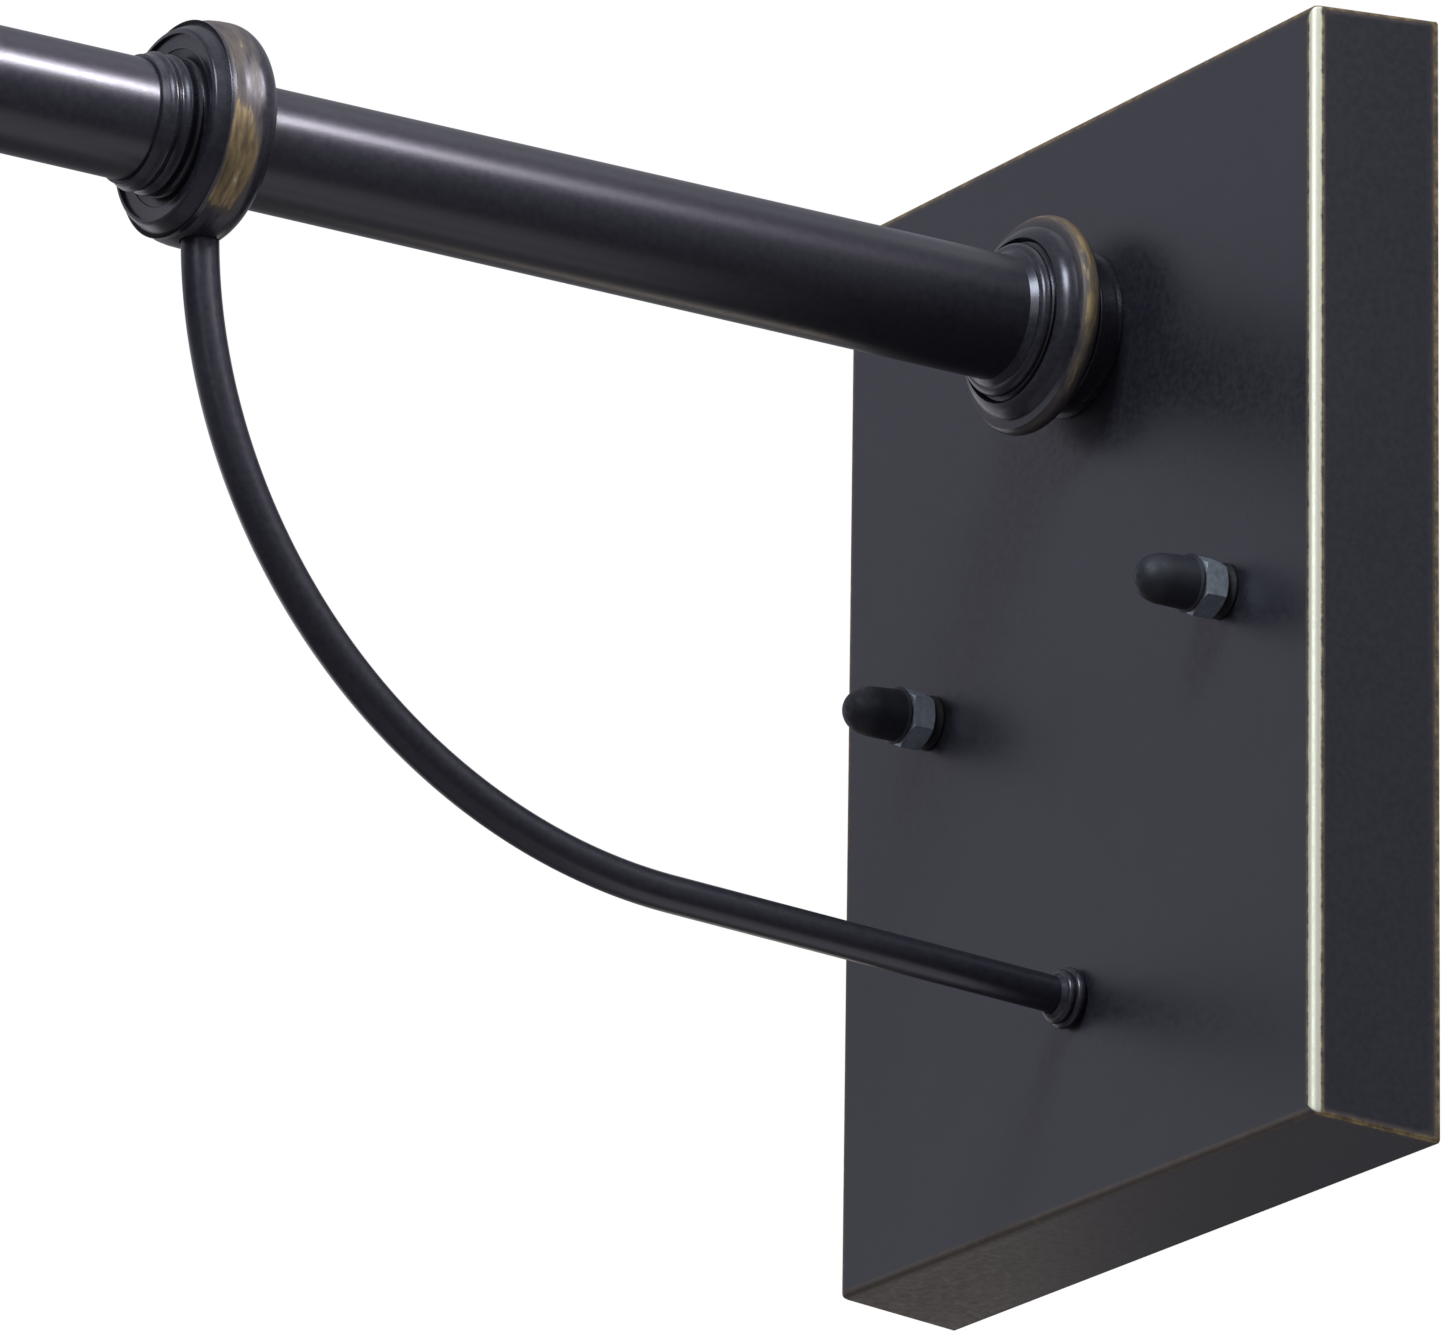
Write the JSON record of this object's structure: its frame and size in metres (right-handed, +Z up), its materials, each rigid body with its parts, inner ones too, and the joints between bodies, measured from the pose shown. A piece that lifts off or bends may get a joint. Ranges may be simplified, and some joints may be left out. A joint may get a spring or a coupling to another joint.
{
  "type": "picture light",
  "caption": "Hardwired picture light: rectangular wall pan, tubular arm with a curved brace rod, and a half-round shade that tilts on a friction swivel over tubular lamps.",
  "frame": {"origin": "middle of the crossbar's back face, which lies on the wall", "axes": "+Y into the wall, so the light stands out towards -Y; +Z up; +X along the plate's width and the shade"},
  "size_m": [0.3606, 0.3656, 0.1857],
  "materials": {
    "bronze": "satin dark oil-rubbed bronze, rubbed through to brass along sharp edges",
    "zinc_steel": "zinc-plated steel, slightly bluish",
    "cap_rubber": "matt black vinyl",
    "green_screw": "green dyed screw",
    "black_lead": "black insulation",
    "white_lead": "white insulation",
    "green_lead": "green insulation",
    "connector_plastic": "orange moulded plastic",
    "fibre": "pressed brown fibre",
    "bright_aluminium": "bright anodised reflector sheet",
    "porcelain": "glazed white porcelain",
    "lamp_brass": "bright drawn brass",
    "lamp_glass": "clear thin glass"
  },
  "bodies": {
    "arm": {"backplate": "bronze", "crossbar": "zinc_steel", "stud_left": "zinc_steel", "stud_right": "zinc_steel", "inner_nut_left": "zinc_steel", "inner_nut_right": "zinc_steel", "outer_nut_left": "zinc_steel", "outer_nut_right": "zinc_steel", "rubber_cap_left": "cap_rubber", "rubber_cap_right": "cap_rubber", "outer_washer_left": "bronze", "outer_washer_right": "bronze", "ground_screw": "green_screw", "arm_flange": "bronze", "arm_tube": "bronze", "arm_nipple": "zinc_steel", "arm_lock_washer": "zinc_steel", "arm_lock_nut": "zinc_steel", "brace_collar": "bronze", "brace_rod": "bronze", "brace_ferrule": "bronze", "brace_washer": "zinc_steel", "brace_nut": "zinc_steel", "lead_live": "black_lead", "lead_neutral": "white_lead", "lead_ground": "green_lead", "connector_live": "connector_plastic", "connector_neutral": "connector_plastic", "swivel_arm_half": "bronze", "swivel_friction_washer": "fibre", "swivel_screw": "bronze", "swivel_lock_washer": "zinc_steel", "swivel_acorn_nut": "bronze"},
    "head": {"swivel_head_half": "bronze", "shade_seat": "bronze", "shade_lock_washer": "zinc_steel", "shade_lock_nut": "zinc_steel", "shade_shell": "bronze", "reflector": "bright_aluminium", "reflector_standoff_left": "zinc_steel", "reflector_standoff_right": "zinc_steel", "reflector_screw_left": "zinc_steel", "reflector_screw_right": "zinc_steel", "end_cap_left": "bronze", "end_cap_right": "bronze", "holder_screw_left": "bronze", "holder_screw_right": "bronze", "lamp_holder_left": "porcelain", "lamp_holder_right": "porcelain", "lamp_base_left": "lamp_brass", "lamp_base_right": "lamp_brass", "lamp_glass_left": "lamp_glass", "lamp_glass_right": "lamp_glass", "head_lead_left": "black_lead", "head_lead_right": "black_lead"}
  },
  "joints": [
    {"name": "head_tilt", "type": "hinge", "parent": "arm", "child": "head", "pos_m": [0, -0.268, 0.0546], "axis": [1, 0, 0], "range_deg": [-45, 75]}
  ]
}
